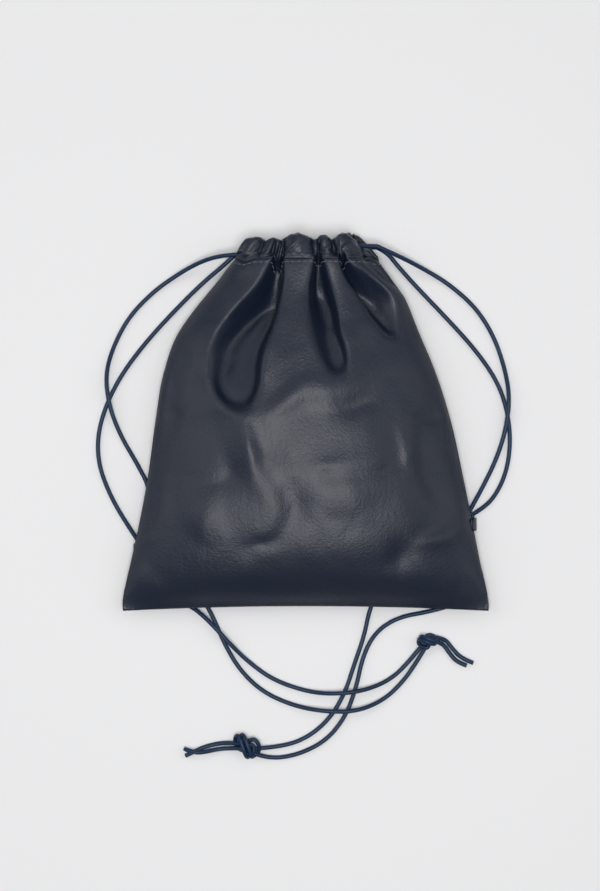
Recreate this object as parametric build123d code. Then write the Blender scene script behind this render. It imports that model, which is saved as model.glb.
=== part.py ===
from build123d import *

import os
from math import pi, radians, tan

# A small drawstring backpack in soft leather, lying on its back with the front panel up.
# Millimetres. +Z up from the surface it lies on, +Y towards the mouth, +X to the right.
# The origin is under the middle of the bag, on the surface.

# ---------------------------------------------------------------- driving dimensions
LEATHER = 1.2
CORD = 2.7
CORD_LIE = CORD / 2
THREAD = 0.6
SEAM_Z = 9.0
BAG_BOTTOM = -117.5
BAG_TOP = 117.5
PANEL_TOP = 99.9
CHANNEL_START = 100.0
CHANNEL_HALF_WIDTH = 44.0
CHANNEL_TOP_HALF_WIDTH = 34.0
CHANNEL_HEIGHT = 7.4
LANE_LEFT_CORD = 103.2
LANE_RIGHT_CORD = 108.5
TAB_LENGTH = 8.0
TAB_WIDTH = 9.8
TAB_HEIGHT = 5.3
TAB_CORD_Z = 2.6
JOINT_GAP = 2.1
STITCH_LENGTH = 2.6
STITCH_PITCH = 3.7
SEAM_STITCH_PITCH = 6.0
LEAST_SHELL = 0.15

# Stations along the bag: y, left edge, right edge, front crown above the seam,
# back depth below the seam.
STATIONS = [
    (BAG_BOTTOM, -113.6, 113.7, 1.4, 1.3),
    (-112.0, -114.2, 114.2, 7.5, 2.4),
    (-100.0, -112.0, 112.3, 15.0, 4.2),
    (-85.0, -108.6, 109.2, 20.5, 6.5),
    (-65.0, -104.3, 105.2, 25.0, 10.4),
    (-35.0, -98.8, 99.0, 27.5, 10.5),
    (0.0, -94.0, 91.3, 28.0, 10.5),
    (30.0, -88.7, 82.0, 26.5, 10.4),
    (55.0, -79.2, 71.0, 23.5, 10.0),
    (75.0, -64.6, 62.0, 19.5, 9.6),
    (PANEL_TOP, -44.6, 44.6, 14.7, 8.4),
]
# Share of the half width at which each cross-section is given a point.
SECTION_SHARES = [-1, -0.95, -0.82, -0.6, -0.3, 0, 0.3, 0.6, 0.82, 0.95, 1]

os.makedirs("parts", exist_ok=True)


def front_share(u):
    """Height of the plump front panel at share u of the half width."""
    return (1 - abs(u) ** 2.4) ** 0.66


def back_share(u):
    """Depth of the dished back panel at share u of the half width."""
    return 1 - abs(u) ** 3


def section(y, left, right, rise, share):
    """A closed face across the bag between the seam plane and one panel's surface."""
    middle = (left + right) / 2
    half = (right - left) / 2
    points = [(middle + u * half, y, SEAM_Z + rise * share(u)) for u in SECTION_SHARES]
    edges = [Spline(points), Line(points[-1], points[0])]
    return Face(Wire(edges))


def half_shell(side, share):
    """One leather panel: outer loft less inner loft, flat where it rests on the surface."""
    outer = []
    inner = []
    for y, left, right, crown, depth in STATIONS:
        size = crown if side > 0 else depth
        outer.append(section(y, left, right, side * size, share))
        inner_y = y
        if y == BAG_BOTTOM:
            inner_y = y + LEATHER
        if y == PANEL_TOP:
            inner_y = y + LEATHER
        inner_size = max(size - LEATHER, LEAST_SHELL)
        inner.append(section(inner_y, left + LEATHER, right - LEATHER, side * inner_size, share))
    shell = loft(outer)
    hollow = loft(inner)
    if side < 0:
        tall = 4 * SEAM_Z
        long = 4 * BAG_TOP
        above_floor = Pos(0, 0, tall / 2) * Box(long, long, tall)
        above_leather = Pos(0, 0, LEATHER + tall / 2) * Box(long, long, tall)
        shell = shell & above_floor
        hollow = hollow & above_leather
    return shell - hollow


def rounded_path(points):
    """Straight runs joined by tangent arcs, each arc as large as its two runs allow."""
    spots = [Vector(*point) for point in points]
    radii = []
    for before, corner, after in zip(spots, spots[1:], spots[2:]):
        first = corner - before
        second = after - corner
        turn = first.get_angle(second)
        reach = 0.45 * min(first.length, second.length)
        radii.append(reach / tan(radians(turn / 2)))
    return FilletPolyline(*spots, radius=radii), radii


def tube(name, points, diameter=CORD):
    """A plain round cord along the route, with its radii, length and volume printed."""
    if len(points) > 2:
        path, radii = rounded_path(points)
    else:
        path = Line(points[0], points[1])
        radii = [0]
    start = Plane(path @ 0, z_dir=path % 0)
    cord = sweep(start * Circle(diameter / 2), path=path)
    area = pi * diameter**2 / 4
    ratio = cord.volume / (area * path.length)
    least = min(radii)
    print(name, "length", round(path.length, 1), "least radius", round(least, 1), "ratio", round(ratio, 4))
    print("   radii", [round(radius, 1) for radius in radii])
    return cord


def write(name, shape):
    """Write one sub-part as a STEP file named after its node."""
    export_step(shape, f"parts/{name}.step")


# ---------------------------------------------------------------- leather panels
front_panel = half_shell(1, front_share)
back_panel = half_shell(-1, back_share)
write("front_panel", front_panel)
write("back_panel", back_panel)


# ---------------------------------------------------------------- cord channels
# Each channel is the panel's top edge turned in and sewn down: a flat sleeve, open at
# both ends, bowed away from the mouth. Near each end a gap in its inner wall lets the
# cord of the other side turn from the front sleeve into the back one.
FRONT_ARCH = [(-44.0, 13.5), (-16.0, 19.6), (16.0, 19.6), (44.0, 13.5)]
BACK_ARCH = [(-44.0, 5.2), (-16.0, 4.2), (16.0, 4.2), (44.0, 5.2)]
TURN_REACH = 36.5
TURN_WIDTH = 6.5
TURN_HEIGHT = 11.5
TURN_MIDDLE_Z = 9.5
OUTER_CORNER = 2.4
INNER_CORNER = 1.3
CHANNEL_MIDDLE = (CHANNEL_START + BAG_TOP) / 2
CHANNEL_DEPTH = BAG_TOP - CHANNEL_START


def arch_path(arch, y):
    """The sleeve's middle line across the bag at one y, from the left end to the right."""
    points = [(x, y, z) for x, z in arch]
    return rounded_path(points)[0]


def channel(arch):
    """A sleeve of leather round the arch, trimmed to the slanted ends of the mouth."""
    path = arch_path(arch, CHANNEL_MIDDLE)
    start = Plane(path @ 0, x_dir=(0, 1, 0), z_dir=path % 0)
    outer = sweep(start * RectangleRounded(CHANNEL_DEPTH, CHANNEL_HEIGHT, OUTER_CORNER), path=path)
    hollow_depth = CHANNEL_DEPTH - 2 * LEATHER
    hollow_height = CHANNEL_HEIGHT - 2 * LEATHER
    inner = sweep(start * RectangleRounded(hollow_depth, hollow_height, INNER_CORNER), path=path)
    return outer - inner


def mouth_outline():
    """A prism of the mouth seen from above, with slanted ends."""
    low = CHANNEL_START - 1
    high = BAG_TOP + 1
    bend = LANE_LEFT_CORD + 1
    outline = Polyline(
        (-CHANNEL_HALF_WIDTH, low),
        (CHANNEL_HALF_WIDTH, low),
        (CHANNEL_HALF_WIDTH - 1, bend),
        (CHANNEL_TOP_HALF_WIDTH, high),
        (-CHANNEL_TOP_HALF_WIDTH, high),
        (-CHANNEL_HALF_WIDTH + 1, bend),
        close=True,
    )
    return extrude(make_face(outline), 4 * SEAM_Z)


def turn_gap(side, lane):
    """The space in which a cord turns from the front sleeve to the back one."""
    middle = side * (TURN_REACH - TURN_WIDTH / 2 + 2)
    return Pos(middle, lane, TURN_MIDDLE_Z) * Box(TURN_WIDTH, CORD + 1, TURN_HEIGHT)


turns = turn_gap(1, LANE_LEFT_CORD) + turn_gap(-1, LANE_RIGHT_CORD)
front_channel = (channel(FRONT_ARCH) & mouth_outline()) - turns
back_channel = (channel(BACK_ARCH) & mouth_outline()) - turns
write("front_channel", front_channel)
write("back_channel", back_channel)


# ---------------------------------------------------------------- stitching
def run_of_stitches(path, first, last, pitch, along):
    """Short threads laid along a path between two shares of its length."""
    count = int((last - first) * path.length / pitch)
    stitches = []
    for index in range(count + 1):
        share = first + (last - first) * index / count
        spot = path @ share
        heading = path % share if along else Vector(0, 0, 1)
        stitch = Plane(spot, z_dir=heading) * Cylinder(THREAD / 2, STITCH_LENGTH)
        stitches.append(stitch)
    return Compound(children=stitches)


def channel_stitches(arch, side):
    """The row of stitches that closes a sleeve, half sunk in its outer face."""
    raised = [(x, z + side * CHANNEL_HEIGHT / 2) for x, z in arch]
    path = arch_path(raised, CHANNEL_START + 2.6)
    return run_of_stitches(path, 0.04, 0.96, STITCH_PITCH, True)


def side_seam_path(side):
    """The line of the side seam inside the leather, from the bottom to the mouth."""
    inset = LEATHER / 2
    points = []
    for y, left, right, _, _ in STATIONS[1:]:
        x = left + inset if side < 0 else right - inset
        points.append((x, y, SEAM_Z))
    return Spline(points)


BOTTOM_SEAM_REACH = 110.0
BOTTOM_SEAM_Y = BAG_BOTTOM + LEATHER / 2
left_end = (-BOTTOM_SEAM_REACH, BOTTOM_SEAM_Y, SEAM_Z)
right_end = (BOTTOM_SEAM_REACH, BOTTOM_SEAM_Y, SEAM_Z)
bottom_seam_path = Line(left_end, right_end)
write("front_channel_stitching", channel_stitches(FRONT_ARCH, 1))
write("back_channel_stitching", channel_stitches(BACK_ARCH, -1))
for name, path, first, last in (
    ("left_side_seam_stitching", side_seam_path(-1), 0.02, 0.97),
    ("right_side_seam_stitching", side_seam_path(1), 0.02, 0.97),
    ("bottom_seam_stitching", bottom_seam_path, 0.01, 0.99),
):
    write(name, run_of_stitches(path, first, last, SEAM_STITCH_PITCH, False))


# ---------------------------------------------------------------- side tabs
# A loop of leather sewn into each side seam near the bottom, folded under the bag. The two
# strands of a strap go through it.
LEFT_TAB_Y = -80.0
RIGHT_TAB_Y = -64.0
LEFT_TAB_OUT = -107.6
RIGHT_TAB_OUT = 106.6
NECK_TOP = SEAM_Z + 0.5
NECK_INSET = 3.0
LOOP_CORNER = 1.6
OPENING_CORNER = 0.9
TACK_OFFSET = 2.0
TACK_DROP = 1.6


def tab(side, outer_x, y):
    """A flat loop with a neck that reaches up to the seam."""
    middle = outer_x - side * TAB_WIDTH / 2
    loop = Pos(middle, y, TAB_HEIGHT / 2) * Box(TAB_WIDTH, TAB_LENGTH, TAB_HEIGHT)
    loop = fillet(loop.edges().filter_by(Axis.Y), LOOP_CORNER)
    opening_width = TAB_WIDTH - 2 * LEATHER
    opening_height = TAB_HEIGHT - 2 * LEATHER
    opening = Pos(middle, y, TAB_HEIGHT / 2) * Box(opening_width, TAB_LENGTH + 2, opening_height)
    opening = fillet(opening.edges().filter_by(Axis.Y), OPENING_CORNER)
    neck_height = NECK_TOP - TAB_HEIGHT + 1
    neck_x = outer_x - side * NECK_INSET
    neck = Pos(neck_x, y, NECK_TOP - neck_height / 2) * Box(2 * LEATHER, TAB_LENGTH, neck_height)
    return (loop + neck) - opening


write("left_tab", tab(-1, LEFT_TAB_OUT, LEFT_TAB_Y))
write("right_tab", tab(1, RIGHT_TAB_OUT, RIGHT_TAB_Y))


def tab_stitches(side, outer_x, y):
    """Two bar tacks across the neck of a tab."""
    tacks = []
    for offset in (-TACK_OFFSET, TACK_OFFSET):
        spot = Pos(outer_x - side * NECK_INSET, y + offset, SEAM_Z - TACK_DROP)
        tacks.append(spot * Rot(0, 90, 0) * Cylinder(THREAD / 2, 2 * LEATHER + THREAD))
    return Compound(children=tacks)


write("left_tab_stitching", tab_stitches(-1, LEFT_TAB_OUT, LEFT_TAB_Y))
write("right_tab_stitching", tab_stitches(1, RIGHT_TAB_OUT, RIGHT_TAB_Y))


# ---------------------------------------------------------------- cord held by the bag
def channel_run(lane, side):
    """One cord through both sleeves: in at the front, round near the far end, out at the back."""
    inset = 2.0 if lane == LANE_LEFT_CORD else 4.6
    near = side * (CHANNEL_HALF_WIDTH - inset)
    far = -side * TURN_REACH
    before_turn = far + side * 2.5
    points = [
        (near, lane, 14.0),
        (side * 16, lane, 19.5),
        (-side * 16, lane, 19.5),
        (before_turn, lane, 15.4),
        (far, lane, 10.0),
        (before_turn, lane, 5.2),
        (0, lane, 4.3),
        (near, lane, 5.2),
    ]
    return points


write("left_cord_in_channel", tube("left_cord_in_channel", channel_run(LANE_LEFT_CORD, -1)))
write("right_cord_in_channel", tube("right_cord_in_channel", channel_run(LANE_RIGHT_CORD, 1)))

LEFT_TAB_LANES = {"outer": -104.9, "inner": -102.0}
RIGHT_TAB_LANES = {"outer": 103.9, "inner": 101.0}
TAB_REACH = TAB_LENGTH / 2
for side, lanes, tab_y in (("left", LEFT_TAB_LANES, LEFT_TAB_Y), ("right", RIGHT_TAB_LANES, RIGHT_TAB_Y)):
    for place, lane in lanes.items():
        name = f"{side}_cord_in_tab_{place}"
        points = [(lane, tab_y + TAB_REACH, TAB_CORD_Z), (lane, tab_y - TAB_REACH, TAB_CORD_Z)]
        write(name, tube(name, points))

# ---------------------------------------------------------------- shoulder straps
# Each strap is the two free strands of one cord between the mouth and the tab.
STRAP_START_Z = {"front": 13.9, "back": 5.2}
LEFT_START = (-(CHANNEL_HALF_WIDTH + 0.9), LANE_LEFT_CORD)
RIGHT_START = (CHANNEL_HALF_WIDTH, LANE_RIGHT_CORD)
LEFT_STRAP_END_Y = LEFT_TAB_Y + TAB_REACH + JOINT_GAP
RIGHT_STRAP_END_Y = RIGHT_TAB_Y + TAB_REACH + JOINT_GAP

LEFT_FRONT_STRAND = [
    (*LEFT_START, STRAP_START_Z["front"]),
    (-54.0, 102.6, 12.6),
    (-66.5, 99.0, 7.2),
    (-80.0, 91.8, 2.6),
    (-95.5, 81.0, CORD_LIE),
    (-110.5, 65.5, CORD_LIE),
    (-120.5, 46.5, CORD_LIE),
    (-125.0, 28.5, 4.5),
    (-122.3, 9.0, 4.5),
    (-115.8, -8.5, CORD_LIE),
    (-106.0, -25.0, CORD_LIE),
    (-97.0, -42.0, CORD_LIE),
    (-98.6, -59.0, CORD_LIE),
    (LEFT_TAB_LANES["inner"], LEFT_STRAP_END_Y, 2.4),
]
LEFT_BACK_STRAND = [
    (*LEFT_START, STRAP_START_Z["back"]),
    (-51.5, 97.0, 4.2),
    (-64.0, 87.0, 1.8),
    (-79.5, 71.8, CORD_LIE),
    (-97.5, 52.5, CORD_LIE),
    (-113.5, 32.0, CORD_LIE),
    (-124.0, 12.5, CORD_LIE),
    (-130.0, -7.5, CORD_LIE),
    (-129.5, -27.0, CORD_LIE),
    (-121.5, -47.5, CORD_LIE),
    (-111.0, -65.0, CORD_LIE),
    (LEFT_TAB_LANES["outer"], LEFT_STRAP_END_Y, 2.4),
]
RIGHT_FRONT_STRAND = [
    (*RIGHT_START, STRAP_START_Z["front"]),
    (51.5, 105.2, 12.6),
    (62.5, 100.6, 7.6),
    (75.5, 94.2, 3.0),
    (90.0, 85.5, CORD_LIE),
    (106.0, 71.5, CORD_LIE),
    (117.2, 54.0, CORD_LIE),
    (124.0, 34.5, CORD_LIE),
    (127.2, 15.5, 4.5),
    (124.8, -4.5, 4.5),
    (119.4, -22.5, CORD_LIE),
    (110.8, -40.5, CORD_LIE),
    (RIGHT_TAB_LANES["inner"], RIGHT_STRAP_END_Y, 2.4),
]
RIGHT_BACK_STRAND = [
    (*RIGHT_START, STRAP_START_Z["back"]),
    (50.2, 106.0, 4.2),
    (57.5, 97.0, 2.0),
    (70.0, 83.2, CORD_LIE),
    (88.0, 64.6, CORD_LIE),
    (106.5, 44.3, CORD_LIE),
    (119.8, 25.0, CORD_LIE),
    (126.2, 6.0, CORD_LIE),
    (128.0, -14.0, CORD_LIE),
    (125.0, -33.0, CORD_LIE),
    (117.0, -48.5, CORD_LIE),
    (107.5, -56.0, 1.6),
    (RIGHT_TAB_LANES["outer"], RIGHT_STRAP_END_Y, 2.4),
]
write("left_strap_front_strand", tube("left_strap_front_strand", LEFT_FRONT_STRAND))
write("left_strap_back_strand", tube("left_strap_back_strand", LEFT_BACK_STRAND))
write("right_strap_front_strand", tube("right_strap_front_strand", RIGHT_FRONT_STRAND))
write("right_strap_back_strand", tube("right_strap_back_strand", RIGHT_BACK_STRAND))

# ---------------------------------------------------------------- tails, knots and tips
# Past the tabs the strands run under the bag, come out at its bottom edge, cross, and are
# tied in pairs. The left tail passes over the right one.
LEFT_TAIL_START_Y = LEFT_TAB_Y - TAB_REACH - JOINT_GAP
RIGHT_TAIL_START_Y = RIGHT_TAB_Y - TAB_REACH - JOINT_GAP
HUMP = 4.9
LEFT_KNOT = (75.5, -136.4, 3.9)
LEFT_KNOT_SIZE = (10.0, 11.4, 7.8)
RIGHT_KNOT = (-36.7, -202.4, 3.9)
RIGHT_KNOT_SIZE = (14.2, 12.6, 7.8)

LEFT_TAIL_OUTER = [
    (LEFT_TAB_LANES["outer"], LEFT_TAIL_START_Y, 2.4),
    (-104.0, -97.0, CORD_LIE),
    (-89.5, -107.5, CORD_LIE),
    (-72.0, -114.5, 2.4),
    (-61.0, -123.4, HUMP),
    (-49.0, -136.5, HUMP),
    (-36.5, -149.5, CORD_LIE),
    (-20.0, -161.5, CORD_LIE),
    (1.0, -168.5, CORD_LIE),
    (16.0, -169.6, HUMP),
    (33.5, -168.2, HUMP),
    (49.5, -163.0, CORD_LIE),
    (61.5, -153.6, CORD_LIE),
    (72.8, -139.2, 2.6),
]
LEFT_TAIL_INNER = [
    (LEFT_TAB_LANES["inner"], LEFT_TAIL_START_Y, 2.4),
    (-99.5, -93.5, CORD_LIE),
    (-84.0, -98.4, CORD_LIE),
    (-67.0, -106.0, CORD_LIE),
    (-58.2, -121.0, CORD_LIE),
    (-50.5, -139.5, CORD_LIE),
    (-40.5, -156.0, CORD_LIE),
    (-26.5, -169.0, CORD_LIE),
    (-8.0, -177.2, CORD_LIE),
    (11.5, -180.6, HUMP),
    (31.5, -180.6, HUMP),
    (48.5, -174.0, CORD_LIE),
    (60.5, -162.5, CORD_LIE),
    (69.0, -150.5, CORD_LIE),
    (74.5, -141.0, 2.6),
]
RIGHT_TAIL_INNER = [
    (RIGHT_TAB_LANES["inner"], RIGHT_TAIL_START_Y, 2.4),
    (97.5, -79.5, CORD_LIE),
    (84.0, -87.5, CORD_LIE),
    (65.5, -93.0, CORD_LIE),
    (47.0, -101.0, CORD_LIE),
    (39.8, -117.0, CORD_LIE),
    (36.4, -134.0, CORD_LIE),
    (30.4, -151.0, CORD_LIE),
    (25.0, -168.0, CORD_LIE),
    (16.5, -183.5, CORD_LIE),
    (3.5, -195.8, CORD_LIE),
    (-13.0, -202.8, CORD_LIE),
    (-31.0, -203.9, 2.6),
]
RIGHT_TAIL_OUTER = [
    (RIGHT_TAB_LANES["outer"], RIGHT_TAIL_START_Y, 2.4),
    (104.5, -84.0, CORD_LIE),
    (103.0, -101.0, CORD_LIE),
    (94.0, -113.8, CORD_LIE),
    (77.0, -118.6, CORD_LIE),
    (57.5, -122.0, CORD_LIE),
    (43.2, -131.5, CORD_LIE),
    (35.6, -146.5, CORD_LIE),
    (31.6, -165.5, CORD_LIE),
    (25.0, -184.0, CORD_LIE),
    (12.5, -199.5, CORD_LIE),
    (-6.0, -208.4, CORD_LIE),
    (-24.0, -210.4, CORD_LIE),
    (-33.5, -206.5, 2.6),
]
LEFT_TIP_UPPER = [
    (78.5, -135.9, 3.0),
    (85.0, -134.9, CORD_LIE),
    (92.8, -141.0, CORD_LIE),
    (99.5, -145.6, CORD_LIE),
    (104.5, -150.6, CORD_LIE),
]
LEFT_TIP_LOWER = [
    (78.0, -139.2, 3.0),
    (84.2, -138.4, CORD_LIE),
    (90.2, -143.6, CORD_LIE),
    (96.8, -148.2, CORD_LIE),
    (100.4, -152.6, CORD_LIE),
]
RIGHT_TIP_UPPER = [
    (-41.5, -201.0, 3.0),
    (-51.0, -201.3, CORD_LIE),
    (-62.0, -203.6, CORD_LIE),
    (-75.0, -208.4, CORD_LIE),
]
RIGHT_TIP_LOWER = [
    (-41.0, -204.4, 3.0),
    (-50.5, -206.6, 2.6),
    (-60.5, -207.9, 4.6),
    (-69.5, -205.9, 4.6),
    (-77.5, -203.5, CORD_LIE),
]


def knot(place, size):
    """The outer shape of an overhand knot tied in two strands together."""
    ball = Sphere(0.5)
    return Pos(*place) * scale(ball, by=size)


write("left_tail_outer_strand", tube("left_tail_outer_strand", LEFT_TAIL_OUTER))
write("left_tail_inner_strand", tube("left_tail_inner_strand", LEFT_TAIL_INNER))
write("right_tail_outer_strand", tube("right_tail_outer_strand", RIGHT_TAIL_OUTER))
write("right_tail_inner_strand", tube("right_tail_inner_strand", RIGHT_TAIL_INNER))
write("left_tail_knot", knot(LEFT_KNOT, LEFT_KNOT_SIZE))
write("right_tail_knot", knot(RIGHT_KNOT, RIGHT_KNOT_SIZE))
write("left_tail_upper_tip", tube("left_tail_upper_tip", LEFT_TIP_UPPER))
write("left_tail_lower_tip", tube("left_tail_lower_tip", LEFT_TIP_LOWER))
write("right_tail_upper_tip", tube("right_tail_upper_tip", RIGHT_TIP_UPPER))
write("right_tail_lower_tip", tube("right_tail_lower_tip", RIGHT_TIP_LOWER))
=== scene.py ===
import math

import bpy
import numpy as np
from bpy.props import FloatProperty, FloatVectorProperty, IntProperty, PointerProperty
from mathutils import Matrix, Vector


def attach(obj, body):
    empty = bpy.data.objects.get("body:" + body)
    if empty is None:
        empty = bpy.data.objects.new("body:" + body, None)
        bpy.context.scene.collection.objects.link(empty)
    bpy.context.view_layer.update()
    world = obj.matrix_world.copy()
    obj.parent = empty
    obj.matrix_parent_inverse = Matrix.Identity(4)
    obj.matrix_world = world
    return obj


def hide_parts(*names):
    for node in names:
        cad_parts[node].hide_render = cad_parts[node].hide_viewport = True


bl_info = {
    "name": "Leather drawstring backpack",
    "version": (1, 0, 0),
    "blender": (4, 5, 0),
    "location": "3D View > Sidebar > Backpack",
    "description": "Builds a small gathered leather backpack round its packed frame",
    "category": "Object",
}

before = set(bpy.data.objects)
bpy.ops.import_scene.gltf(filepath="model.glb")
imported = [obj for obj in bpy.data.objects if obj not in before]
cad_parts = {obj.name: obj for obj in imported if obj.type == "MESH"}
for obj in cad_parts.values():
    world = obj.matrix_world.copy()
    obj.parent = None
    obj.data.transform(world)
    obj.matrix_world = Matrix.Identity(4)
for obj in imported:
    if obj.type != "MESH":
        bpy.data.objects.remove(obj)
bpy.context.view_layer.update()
MM = 0.001

# ------------------------------------------------------------------ routes of the cords
# Heights of a cord's middle, mm: on the floor, and where it lies on another cord.
CORD_LIE = 1.35
HUMP = 4.9


def route(*places):
    """A cord's control points in metres, from (x, y) or (x, y, height) in mm."""
    return [tuple(round(value * MM, 7) for value in (*place, CORD_LIE)[:3]) for place in places]


LEFT_FRONT_STRAND = route(
    (-44.9, 103.2, 13.9), (-54, 102.6, 12.6), (-66.5, 99, 7.2), (-80, 91.8, 2.6), (-95.5, 81),
    (-110.5, 65.5), (-120.5, 46.5), (-125, 28.5, 4.5), (-122.3, 9, 4.5), (-115.8, -8.5),
    (-106, -25), (-97, -42), (-98.6, -59), (-102, -73.9, 2.4),
)
LEFT_BACK_STRAND = route(
    (-44.9, 103.2, 5.2), (-51.5, 97, 4.2), (-64, 87, 1.8), (-79.5, 71.8), (-97.5, 52.5),
    (-113.5, 32), (-124, 12.5), (-130, -7.5), (-129.5, -27), (-121.5, -47.5), (-111, -65),
    (-104.9, -73.9, 2.4),
)
RIGHT_FRONT_STRAND = route(
    (44, 108.5, 13.9), (51.5, 105.2, 12.6), (62.5, 100.6, 7.6), (75.5, 94.2, 3), (90, 85.5),
    (106, 71.5), (117.2, 54), (124, 34.5), (127.2, 15.5, 4.5), (124.8, -4.5, 4.5), (119.4, -22.5),
    (110.8, -40.5), (101, -57.9, 2.4),
)
RIGHT_BACK_STRAND = route(
    (44, 108.5, 5.2), (50.2, 106, 4.2), (57.5, 97, 2), (70, 83.2), (88, 64.6), (106.5, 44.3),
    (119.8, 25), (126.2, 6), (128, -14), (125, -33), (117, -48.5), (107.5, -56, 1.6),
    (103.9, -57.9, 2.4),
)
LEFT_TAIL_OUTER = route(
    (-104.9, -86.1, 2.4), (-104, -97), (-89.5, -107.5), (-72, -114.5, 2.4), (-61, -123.4, HUMP),
    (-49, -136.5, HUMP), (-36.5, -149.5), (-20, -161.5), (1, -168.5), (16, -169.6, HUMP),
    (33.5, -168.2, HUMP), (49.5, -163), (61.5, -153.6), (72.8, -139.2, 2.6),
)
LEFT_TAIL_INNER = route(
    (-102, -86.1, 2.4), (-99.5, -93.5), (-84, -98.4), (-67, -106), (-58.2, -121), (-50.5, -139.5),
    (-40.5, -156), (-26.5, -169), (-8, -177.2), (11.5, -180.6, HUMP), (31.5, -180.6, HUMP),
    (48.5, -174), (60.5, -162.5), (69, -150.5), (74.5, -141, 2.6),
)
RIGHT_TAIL_INNER = route(
    (101, -70.1, 2.4), (97.5, -79.5), (84, -87.5), (65.5, -93), (47, -101), (39.8, -117),
    (36.4, -134), (30.4, -151), (25, -168), (16.5, -183.5), (3.5, -195.8), (-13, -202.8),
    (-31, -203.9, 2.6),
)
RIGHT_TAIL_OUTER = route(
    (103.9, -70.1, 2.4), (104.5, -84), (103, -101), (94, -113.8), (77, -118.6), (57.5, -122),
    (43.2, -131.5), (35.6, -146.5), (31.6, -165.5), (25, -184), (12.5, -199.5), (-6, -208.4),
    (-24, -210.4), (-33.5, -206.5, 2.6),
)
# Each tip goes on from its knot.
LEFT_TIP_UPPER = route(
    (81.5, -134.4, 2.8), (87.5, -136.2), (91.8, -142), (97, -147.6), (104.5, -150.6),
)
LEFT_TIP_LOWER = route(
    (81, -137, 2.6), (86.2, -139.2), (90, -145), (94.6, -150.2), (100.4, -152.2),
)
RIGHT_TIP_UPPER = route(
    (-45, -200.3, 2.6), (-54, -200.7), (-63, -202.8), (-69, -205.6), (-75.2, -208.6),
)
RIGHT_TIP_LOWER = route(
    (-45, -203.6, 2.4), (-54, -204.2), (-62, -205.8, 3), (-69, -206.4, 4.8), (-75.8, -204, 2.6),
)
# The two strands of a knot, mm from its middle: in at the right along the floor, up the far
# side and down over the top, round the bight at the right, and out at the left between layers.
KNOT_STRANDS = [
    [(1.5, -1.0, 1.4), (-3.5, 0.5, 1.4), (-5.0, 5.0, 1.5), (-4.0, 9.0, 3.4), (-1.6, 7.6, 7.0),
     (0.9, 0.0, 7.9), (3.4, -7.4, 6.2), (4.6, -7.2, 2.0), (8.4, -5.0, 2.4), (9.0, 1.5, 4.2),
     (5.2, 5.8, 5.0), (1.0, 4.0, 4.2), (-5.5, 1.6, 4.0)],
    [(-1.0, -3.6, 1.4), (-6.0, -2.4, 1.4), (-8.6, 2.5, 1.5), (-8.2, 7.6, 3.2), (-5.6, 8.2, 6.8),
     (-2.8, 0.0, 7.7), (-0.4, -7.2, 6.2), (1.2, -8.0, 2.2), (5.0, -4.6, 3.0), (5.2, 0.6, 3.2),
     (1.5, 1.6, 3.6), (-3.5, -1.6, 3.8)],
]
# The cords held in the channels, each from its own end round the far end and back.
LEFT_HELD = route(
    (-44.9, 103.2, 13.9), (-42, 103.2, 14), (-16, 103.2, 19.5), (16, 103.2, 19.5),
    (34, 103.2, 15.4), (36.5, 103.2, 10), (34, 103.2, 5.2), (0, 103.2, 4.3), (-42, 103.2, 5.2),
    (-44.9, 103.2, 5.2),
)
RIGHT_HELD = route(
    (44, 108.5, 13.9), (39.4, 108.5, 14), (16, 108.5, 19.5), (-16, 108.5, 19.5), (-34, 108.5, 15.4),
    (-36.5, 108.5, 10), (-34, 108.5, 5.2), (0, 108.5, 4.3), (39.4, 108.5, 5.2), (44, 108.5, 5.2),
)
# Each tail's knot: side, middle in mm, scale, turn in degrees, and the two tips.
KNOTS = [
    ("left", (75.5, -136.4), 0.57, -130.0, LEFT_TIP_UPPER, LEFT_TIP_LOWER),
    ("right", (-36.7, -202.4), 0.86, 0.0, RIGHT_TIP_UPPER, RIGHT_TIP_LOWER),
]

# Strap and tail strands: piece, CAD node, body, route, length in metres.
STRAP_STRANDS = [
    ("left_strap_over", "left_strap_front_strand", "left_strap", LEFT_FRONT_STRAND, 0.2281),
    ("left_strap_under", "left_strap_back_strand", "left_strap", LEFT_BACK_STRAND, 0.2147),
    ("right_strap_over", "right_strap_front_strand", "right_strap", RIGHT_FRONT_STRAND, 0.2140),
    ("right_strap_under", "right_strap_back_strand", "right_strap", RIGHT_BACK_STRAND, 0.2062),
]
TAIL_STRANDS = [
    ("left_tail_over", "left_tail_outer_strand", "left_tail", LEFT_TAIL_OUTER, 0.2228),
    ("left_tail_under", "left_tail_inner_strand", "left_tail", LEFT_TAIL_INNER, 0.2377),
    ("right_tail_over", "right_tail_inner_strand", "right_tail", RIGHT_TAIL_INNER, 0.2058),
    ("right_tail_under", "right_tail_outer_strand", "right_tail", RIGHT_TAIL_OUTER, 0.2237),
]

# ------------------------------------------------------------------ the bag's shape, millimetres
BAG_BOTTOM = -117.5
MOUTH_Y = 99.9
SEAM_Z = 9.0
# Lengths of the two panels when flat.
FRONT_LENGTH = 233.0
BACK_LENGTH = 226.0
# The bow of the bottom edge: half its width, its rise, where it starts and fades out.
BOW_HALF = 114.0
BOW_RISE = 3.0
BOW_TOP = -90.0
BOW_FADE = 27.0
# A panel is skived thin at its edges, so that two sheets meet in a seam without showing
# through: steps from the edge to full thickness, and the share left at the edge.
SKIVED_STEPS = 9
SKIVED_EDGE = 0.15
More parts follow.
